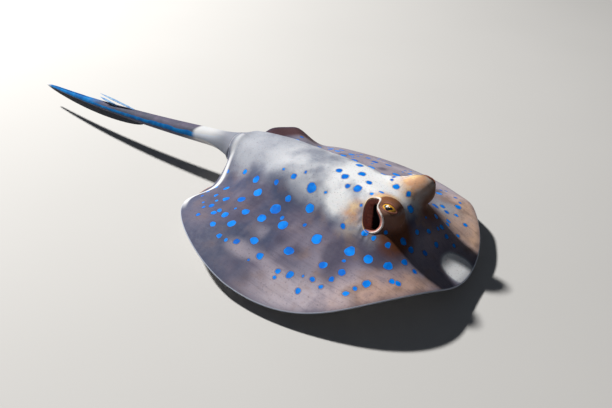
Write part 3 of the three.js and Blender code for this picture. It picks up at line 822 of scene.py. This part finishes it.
# The wings are slate and plum, with lilac and rose round the edge and fawn on the left in front.
# The lilac and rose are thinned over the middle of the head's front, as painted shade there, and the
# left wing is paler lilac and its front a bright fawn over its own tan, as painted light where the
# lamp falls on that side.
hide.colour = hide.mix(hide.step(clouds, 0.38, 0.62), SLATE, PLUM)
hide.lay(hide.step(forward, -0.02, -0.10, 0, 0.5), SLATE)
# Over the middle of the head's front the lilac and rose are thinned, as painted shade.
cheek = hide.step(hide.maths("ABSOLUTE", leftward), 0.032, 0.050)
outer = hide.times(hide.step(margin, 42, 14), hide.step(forward, -0.01, 0.05, 0.12, 1.0))
outer = hide.times(outer, hide.step(mottle, 0.3, 0.55, 0.45, 1.0), hide.step(cheek, 0, 1, 0.4, 1))
rose = hide.times(hide.step(forward, 0.06, 0.11, 0, 0.85), cheek)
hide.lay(outer, hide.mix(rose, LILAC, ROSE))
# Painted light: the left wing is paler, and its front a bright fawn over its own tan.
hide.lay(hide.step(leftward, 0.04, 0.08, 0, 0.5), LILAC)
left_front = hide.times(hide.step(leftward, 0.028, 0.055), hide.step(forward, 0.07, 0.115, 0, 0.75))
hide.lay(hide.times(left_front, hide.step(mottle, 0.3, 0.6, 0.5, 1)), FAWN)
bands = hide.noise(13, 2, hide.vector("MULTIPLY", hide.place, (2.2, 0.8, 1.0)))
hide.lay(hide.step(bands, 0.52, 0.74, 0, 0.30), LILAC)
browner = hide.step(forward, -0.02, 0.10, 0.35, 1.0)
hide.lay(hide.times(hide.step(mottle, 0.48, 0.72, 0, 0.8), browner), BROWN)
unrest = hide.noise(34, 4)
# Dark clouds in umber and pale ones in lilac: partly mottling, partly painted shade and painted light.
stirred = hide.maths("ADD", hide.mark("cloud"), hide.maths("SUBTRACT", unrest, 0.5))
hide.lay(hide.step(stirred, 0.15, 0.70, 0, 0.75), UMBER)
hide.lay(hide.step(stirred, -0.15, -0.90, 0, 0.60), LILAC)

# The back is cream to pearl, partly painted light; the eyes stand in tan and brown, with painted
# shade in the brown; and the raised fold of the left rear lobe is a reddish painted shade.
trunk = hide.mark("trunk")
# The cream and pearl of the back are partly its own colour and partly painted light.
pale = hide.times(trunk, hide.step(unrest, 0.28, 0.68, 0.56, 1.0))
hide.lay(hide.step(pale, 0.2, 0.6, 0, 0.95), CREAM)
hide.lay(hide.times(hide.step(pale, 0.45, 0.9, 0, 0.9), hide.step(forward, -0.08, 0.04, 0.30, 1)), PEARL)
warm = hide.times(hide.mark("warm"), hide.step(hide.noise(70, 3), 0.25, 0.65, 0.5, 1.0))
hide.lay(hide.step(warm, 0.15, 0.9, 0, 0.9), TAN)
hide.lay(hide.times(warm, hide.step(mottle, 0.5, 0.68, 0, 0.9)), YELLOW)
# Painted shade, reddish as if the fin were backlit, on the raised fold of the left rear lobe.
fold_shade = hide.times(hide.step(turn, 2.25, 2.40), hide.step(turn, 2.95, 2.85))
fold_shade = hide.times(fold_shade, hide.step(margin, 34, 20, 0, 0.95))
hide.lay(fold_shade, FOLD_SHADE)
# The brown about the eyes, with painted shade on the right eye's bump and below it.
dusk = hide.maths("ADD", hide.mark("dusk"), hide.times(mottle, 0.3))
hide.lay(hide.step(dusk, 0.35, 1.0, 0, 0.92), DUSK_BROWN)
hide.lay(hide.step(hide.noise(620, 2), 0.58, 0.72, 0, 0.30), FRECKLE)
hide.lay(hide.step(margin, 7, 0, 0, 0.4), SLATE)

# Fine streaks run lengthwise over the wings, as the skin folds with the stroke.
streaks = hide.noise(1.0, 4, hide.vector("MULTIPLY", hide.place, (26.0, 430.0, 90.0)))
on_wing = hide.times(hide.step(trunk, 0.75, 0.2), hide.step(clouds, 0.35, 0.55, 0.35, 1.0))
hide.lay(hide.times(hide.step(streaks, 0.45, 0.75, 0, 0.22), on_wing), STREAK)

# Each spot is the ball about its middle, its outline strayed a little, with a darker ring round it.
wander = hide.vector("SUBTRACT", hide.noise(160, 2, out="Color"), (0.5, 0.5, 0.5))
wander = hide.vector("MULTIPLY", wander, (0.0032, 0.0032, 0.0032))
strayed = hide.vector("ADD", hide.place, wander)
nearest = None
for x, y, width in spots:
    reach = np.hypot(back_rows[..., 0] - x / 1000, back_rows[..., 1] - y / 1000)
    height = back_rows.reshape(-1, 3)[reach.argmin(), 2]
    centre = HUB + np.array([x / 1000, y / 1000, height])
    apart = hide.maths("SUBTRACT", hide.vector("DISTANCE", strayed, tuple(centre), out=1), width / 2000)
    nearest = apart if nearest is None else hide.maths("MINIMUM", nearest, apart)
# Spots are left off the belly and off the painted shade on the left rear fold.
upward = hide.times(hide.step(under, 0.3, 0.1), hide.step(fold_shade, 0.5, 0.2))
hide.lay(hide.times(hide.step(nearest, 0.0012, 0.0001, 0, 0.55), upward), SPOT_HALO)
spot_colour = hide.mix(hide.step(hide.noise(90, 3), 0.35, 0.65), SPOT_DEEP, SPOT_BLUE)
hide.lay(hide.times(hide.step(nearest, 0.00015, -0.00025), upward), spot_colour)

# The tail is grey with a blue stripe down each side; past the stings the blue goes over its top.
stripe = hide.mark("stripe")
tail_colour = hide.mix(hide.step(mottle, 0.35, 0.7), TAIL_GREY, PLUM)
side_high = hide.maths("ADD", stripe, hide.times(hide.maths("SUBTRACT", hide.noise(55, 3), 0.5), 0.5))
off_stripe = hide.maths("ABSOLUTE", hide.maths("SUBTRACT", side_high, 0.25))
top_share = hide.times(hide.step(tail, 0.60, 0.72), hide.step(side_high, -0.35, -0.1))
blue_share = hide.maths("MAXIMUM", hide.step(off_stripe, 0.34, 0.24), top_share)
blue_share = hide.times(blue_share, hide.step(tail, 0.05, 0.12))
tail_blue = hide.mix(hide.step(hide.noise(110, 3), 0.35, 0.7), TAIL_DEEP, TAIL_BLUE)
tail_colour = hide.mix(blue_share, tail_colour, tail_blue)
tail_colour = hide.mix(hide.mark("fold"), tail_colour, FOLD_GREY)
tail_colour = hide.mix(hide.step(tail, 0.955, 0.99), tail_colour, TIP_PALE)
hide.lay(hide.step(tail, 0.0, 0.05), tail_colour)
# Painted light: a cream to pearl saddle over the top of the tail's root.
saddle_light = hide.step(hide.maths("ADD", tail, hide.times(mottle, 0.03)), 0.195, 0.175, 0, 0.7)
saddle_light = hide.times(saddle_light, hide.step(stripe, -0.5, -0.1), hide.step(tail, 0.01, 0.03))
hide.lay(saddle_light, hide.mix(hide.step(tail, 0.05, 0.12), CREAM, PEARL))

# The belly is white, a painted highlight lies along the crest where the right rear edge turns up,
# and the edge ends in a pale line.
belly_colour = hide.mix(hide.step(clouds, 0.4, 0.7, 0, 0.35), BELLY_WHITE, BELLY_GREY)
belly_colour = hide.mix(hide.step(margin, 12, 1, 0, 0.8), belly_colour, PLUM)
hide.lay(hide.times(under, hide.step(tail, 0.25, 0.02)), belly_colour)
# A painted highlight along the crest of the right rear edge, where it turns up.
crest_highlight = hide.maths("SUBTRACT", margin, hide.step(turn, -2.55, -2.80, 2.5, 7.5))
crest_highlight = hide.times(hide.step(hide.maths("ABSOLUTE", crest_highlight), 5.0, 1.0), hide.step(turn, -2.35, -2.55))
hide.lay(hide.times(crest_highlight, hide.step(turn, -3.08, -2.95, 0.3, 0.85)), PEARL)
hide.lay(hide.step(margin, 0.9, 0.3, 0, 0.8), RIM_PALE)
# The breathing holes' walls are brown; their deepest parts, with the mouth's middle, the nostril slits and
# the gill slits' cuts, are near black as painted shade.
deep = hide.mark("deep")
hide.lay(hide.step(deep, 0.03, 0.20), HOLE_BROWN)
hide.lay(hide.step(deep, 0.66, 0.90), HOLE_SHADE)
hide.lay(hide.step(hide.mark("lip"), 0.45, 0.9, 0, 0.95), LIP_PALE)

relief = hide.times(grain, 0.22)
for height, share in ((mottle, 0.35), (hide.times(streaks, on_wing), 0.5), (hide.noise(900, 2), 0.16)):
    relief = hide.maths("ADD", relief, hide.times(height, share))
hide.bump(relief, 0.0008, 0.5)
skin.data.materials.append(
    hide.finish(
        hide.colour,
        hide.step(grain, 0.3, 0.7, 0.55, 0.72),
        Subsurface_Weight=0.05,
        Subsurface_Radius=(0.004, 0.002, 0.0014),
        Subsurface_Scale=1.0,
        Specular_IOR_Level=0.06,
    )
)


# ---- Eyes ------------------------------------------------------------------------------------
# A golden eye sits in each bump: one moist globe, with a flecked iris round a dark pupil that a
# lobe of the iris narrows from above to a level slit.
IRIS_GOLD, IRIS_AMBER, IRIS_EDGE = (0.80, 0.46, 0.04), (0.42, 0.17, 0.02), (0.05, 0.03, 0.02)
PUPIL = (0.004, 0.004, 0.006)
PUPIL_HALF = np.array([0.50, 0.22])  # half length and half height, as shares of the eyeball

iris = Finish("eye")
along, up = iris.mark("along"), iris.mark("up")
out = iris.maths("ADD", iris.times(along, along), iris.times(up, up))
out = iris.maths("SQRT", out)
around = iris.maths("ARCTAN2", up, along)
spokes = iris.tree.nodes.new("ShaderNodeCombineXYZ")
iris.fill(spokes.inputs[0], iris.times(around, 3.2))
iris.fill(spokes.inputs[1], out)
fleck = iris.noise(7.0, 4, spokes.outputs[0])
gold = iris.mix(iris.step(fleck, 0.35, 0.65), IRIS_AMBER, IRIS_GOLD)
gold = iris.mix(iris.step(out, 0.78, 0.97), gold, IRIS_EDGE)
level = iris.maths("DIVIDE", along, float(PUPIL_HALF[0]))
lobe = iris.times(iris.step(iris.maths("ABSOLUTE", level), 0.75, 0.0), 0.20)
high = iris.maths("DIVIDE", iris.maths("ADD", up, lobe), float(PUPIL_HALF[1]))
inside = iris.maths("ADD", iris.times(level, level), iris.times(high, high))
gold = iris.mix(iris.step(inside, 1.12, 0.92), gold, PUPIL)
iris.bump(fleck, 0.0002, 0.5)
eye_finish = iris.finish(gold, 0.22, Coat_Weight=1.0, Coat_Roughness=0.03)

polar = np.linspace(0.03, np.pi - 0.03, 56)[:, None]
around = even_turns(72)[None, :]
along, up = np.sin(polar) * np.cos(around), np.sin(polar) * np.sin(around)
cornea = 1 + 0.03 * bell(polar, 0.55)
ball = along[..., None] * LOOK_ALONG + up[..., None] * LOOK_UP + np.cos(polar)[..., None] * LOOK
ball = ball * cornea[..., None]
for side, word in ((-1, "right"), (1, "left")):
    mirror = across_to(side)
    place = yawed(ball * EYE_SIZE * mirror, -side) + EYE_PLACE * mirror
    points, faces, _ = tube(place)
    pattern = {
        "along": np.concatenate([along.ravel(), [0, 0]]),
        "up": np.concatenate([up.ravel(), [0, 0]]),
    }
    eye = make_piece("eyeball_" + word, [(points, faces, pattern)])
    eye.data.materials.append(eye_finish)
    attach(eye, "root")
    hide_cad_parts("eye_" + word)


# ---- Stings ----------------------------------------------------------------------------------
# Two flat spines of hard, pale dentine lie one behind the other on the tail, free at their tips,
# with saw teeth that point back towards the root down both edges and a shallow groove above.
STING_WIDTH, STING_THICK, STING_TEETH = 0.0036, 0.0013, 26
STINGS = {  # share of the tail, length, sideways, rise and turn in degrees
    "tail_sting_upper": (0.46, 0.058, 0.0008, 7, 3),
    "tail_sting_lower": (0.54, 0.036, -0.0016, 3, -4),
}
BONE_BLUE, BONE_PALE, GROOVE_GREY = (0.05, 0.20, 0.50), (0.24, 0.42, 0.60), (0.10, 0.16, 0.24)

spine = Finish("spine")
bone = spine.mix(spine.step(spine.noise(160, 3), 0.35, 0.7), BONE_BLUE, BONE_PALE)
bone = spine.mix(spine.step(spine.mark("groove"), 0.5, 1.0, 0, 0.7), bone, GROOVE_GREY)
spine.bump(spine.noise(900, 3), 0.0003, 0.6)
spine_finish = spine.finish(bone, 0.5, Specular_IOR_Level=0.3)
for node, (share, length, sideways, rise, lean) in STINGS.items():
    along = np.linspace(0.004, 0.996, 400)
    saw = np.mod(along * STING_TEETH, 1.0)
    taper = np.minimum(1, 3.0 * (1 - along)) ** 0.7 * (0.72 + 0.28 * ramp(along, 0.0, 0.2))
    wide = STING_WIDTH / 2 * taper * (0.74 + 0.26 * (1 - saw) * ramp(along, 0.12, 0.2))
    turn = even_turns(20)
    groove = bell(np.cos(turn), 0.28) * (np.sin(turn) > 0)
    tall = STING_THICK / 2 * taper[:, None] * (np.sin(turn) - 0.35 * groove)
    x, y, z = tail_axis(share)
    rise, lean = np.radians(rise), np.radians(lean)
    ahead = np.array(tail_axis(share + 0.05)) - [x, y, z]
    ahead = ahead * [1, 1, 0] / np.hypot(*ahead[:2])
    c, s = np.cos(lean), np.sin(lean)
    ahead = np.array([ahead[0] * c - ahead[1] * s, ahead[0] * s + ahead[1] * c, 0.0])
    across = np.array([-ahead[1], ahead[0], 0.0])
    way = ahead * np.cos(rise) + np.array([0, 0, np.sin(rise)])
    up = np.cross(across, way)
    up = up * np.sign(up[2])
    start = np.array([x, y + sideways, z + tail_size(share)[1] + STING_THICK * 0.3])
    rows = start + (along * length)[:, None, None] * way
    rows = rows + (wide[:, None] * np.cos(turn))[..., None] * across + tall[..., None] * up
    points, faces, _ = tube(rows)
    marks = {"groove": np.concatenate([np.broadcast_to(groove, tall.shape).ravel(), [0, 0]])}
    sting = make_piece(node + "_spine", [(points, faces, marks)])
    sting.data.materials.append(spine_finish)
    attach(sting, "root")
    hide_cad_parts(node)


# ---- Stand -----------------------------------------------------------------------------------
# A low rounded base of black painted board and two brushed steel rods carry the ray from under its
# belly, where its disc hides them.
BLACK, WORN_BLACK = (0.012, 0.012, 0.013), (0.024, 0.024, 0.026)
STEEL, BRIGHT_STEEL = (0.40, 0.41, 0.42), (0.62, 0.63, 0.64)

board = Finish("stand_black")
worn = board.mix(board.step(board.noise(40, 4), 0.35, 0.75), BLACK, WORN_BLACK)
board.bump(board.noise(1400, 3), 0.0003, 0.35)
board_finish = board.finish(worn, board.step(board.noise(220, 3), 0.3, 0.7, 0.34, 0.5))
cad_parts["stand_base"].material_slots[0].material = board_finish

steel = Finish("stand_steel")
brushing = steel.noise(2600, 3, steel.vector("MULTIPLY", steel.place, (1.0, 1.0, 0.04)))
brushed = steel.mix(brushing, STEEL, BRIGHT_STEEL)
steel.bump(brushing, 0.0001, 0.4)
steel_finish = steel.finish(brushed, steel.step(brushing, 0.3, 0.7, 0.24, 0.42), Metallic=1.0)
for node in ("stand_rod_front", "stand_rod_rear"):
    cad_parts[node].material_slots[0].material = steel_finish


# ---- Floor, light and camera -----------------------------------------------------------------
# A plain pale floor lies under the stand. One lamp stands behind the tail, about half way up the
# sky, so the head shades the snout, and a dim bluish light comes from all round.
FLOOR_HALF, FLOOR_DROP, FLOOR_GREY, FLOOR_PALE = 6.0, 0.0002, (0.48, 0.48, 0.475), (0.52, 0.52, 0.515)
LAMP_WAY, LAMP_FAR, LAMP_SIZE, LAMP_POWER = np.array([-0.70, -0.04, 0.72]), 2.6, 0.18, 122
LAMP_COLOUR, SKY_COLOUR, SKY_STRENGTH = (1.0, 0.97, 0.93), (0.78, 0.86, 1.0, 1), 0.07
AIM = HUB + np.array([0.0104, -0.0428, 0.020])
AZIMUTH, ELEVATION, ROLL, DISTANCE = np.radians(40), np.radians(34.9), np.radians(0.8), 0.552

corners = FLOOR_HALF * np.array([(-1, -1, 0), (1, -1, 0), (1, 1, 0), (-1, 1, 0)])
corners[:, 2] = cad_low[2] - FLOOR_DROP
sheet = bpy.data.meshes.new("floor")
sheet.from_pydata(corners.tolist(), [], [(0, 1, 2, 3)])
floor = bpy.data.objects.new("floor", sheet)
bpy.context.scene.collection.objects.link(floor)
ground = Finish("floor")
sheet.materials.append(ground.finish(ground.mix(ground.noise(3, 2), FLOOR_GREY, FLOOR_PALE), 0.85))

lamp_data = bpy.data.lights.new("lamp", "AREA")
lamp_data.size = LAMP_SIZE
lamp_data.energy = LAMP_POWER
lamp_data.color = LAMP_COLOUR
lamp = bpy.data.objects.new("lamp", lamp_data)
bpy.context.scene.collection.objects.link(lamp)
lamp.location = Vector(HUB + LAMP_FAR * LAMP_WAY)
lamp.rotation_euler = Vector(LAMP_WAY).to_track_quat("Z", "Y").to_euler()
world = bpy.data.worlds.new("world")
world.use_nodes = True
world.node_tree.nodes["Background"].inputs["Color"].default_value = SKY_COLOUR
world.node_tree.nodes["Background"].inputs["Strength"].default_value = SKY_STRENGTH
bpy.context.scene.world = world

camera_data = bpy.data.cameras.new("camera")
camera_data.lens = 35
camera_data.sensor_width = 36
camera = bpy.data.objects.new("camera", camera_data)
bpy.context.scene.collection.objects.link(camera)
back_way = np.array(
    [np.sin(AZIMUTH) * np.cos(ELEVATION), -np.cos(AZIMUTH) * np.cos(ELEVATION), np.sin(ELEVATION)]
)
turned = Matrix.Rotation(AZIMUTH, 4, "Z") @ Matrix.Rotation(np.pi / 2 - ELEVATION, 4, "X")
turned = turned @ Matrix.Rotation(ROLL, 4, "Z")
camera.matrix_world = Matrix.Translation(Vector(AIM + DISTANCE * back_way)) @ turned
bpy.context.scene.camera = camera

bpy.context.scene.view_settings.view_transform = "Standard"
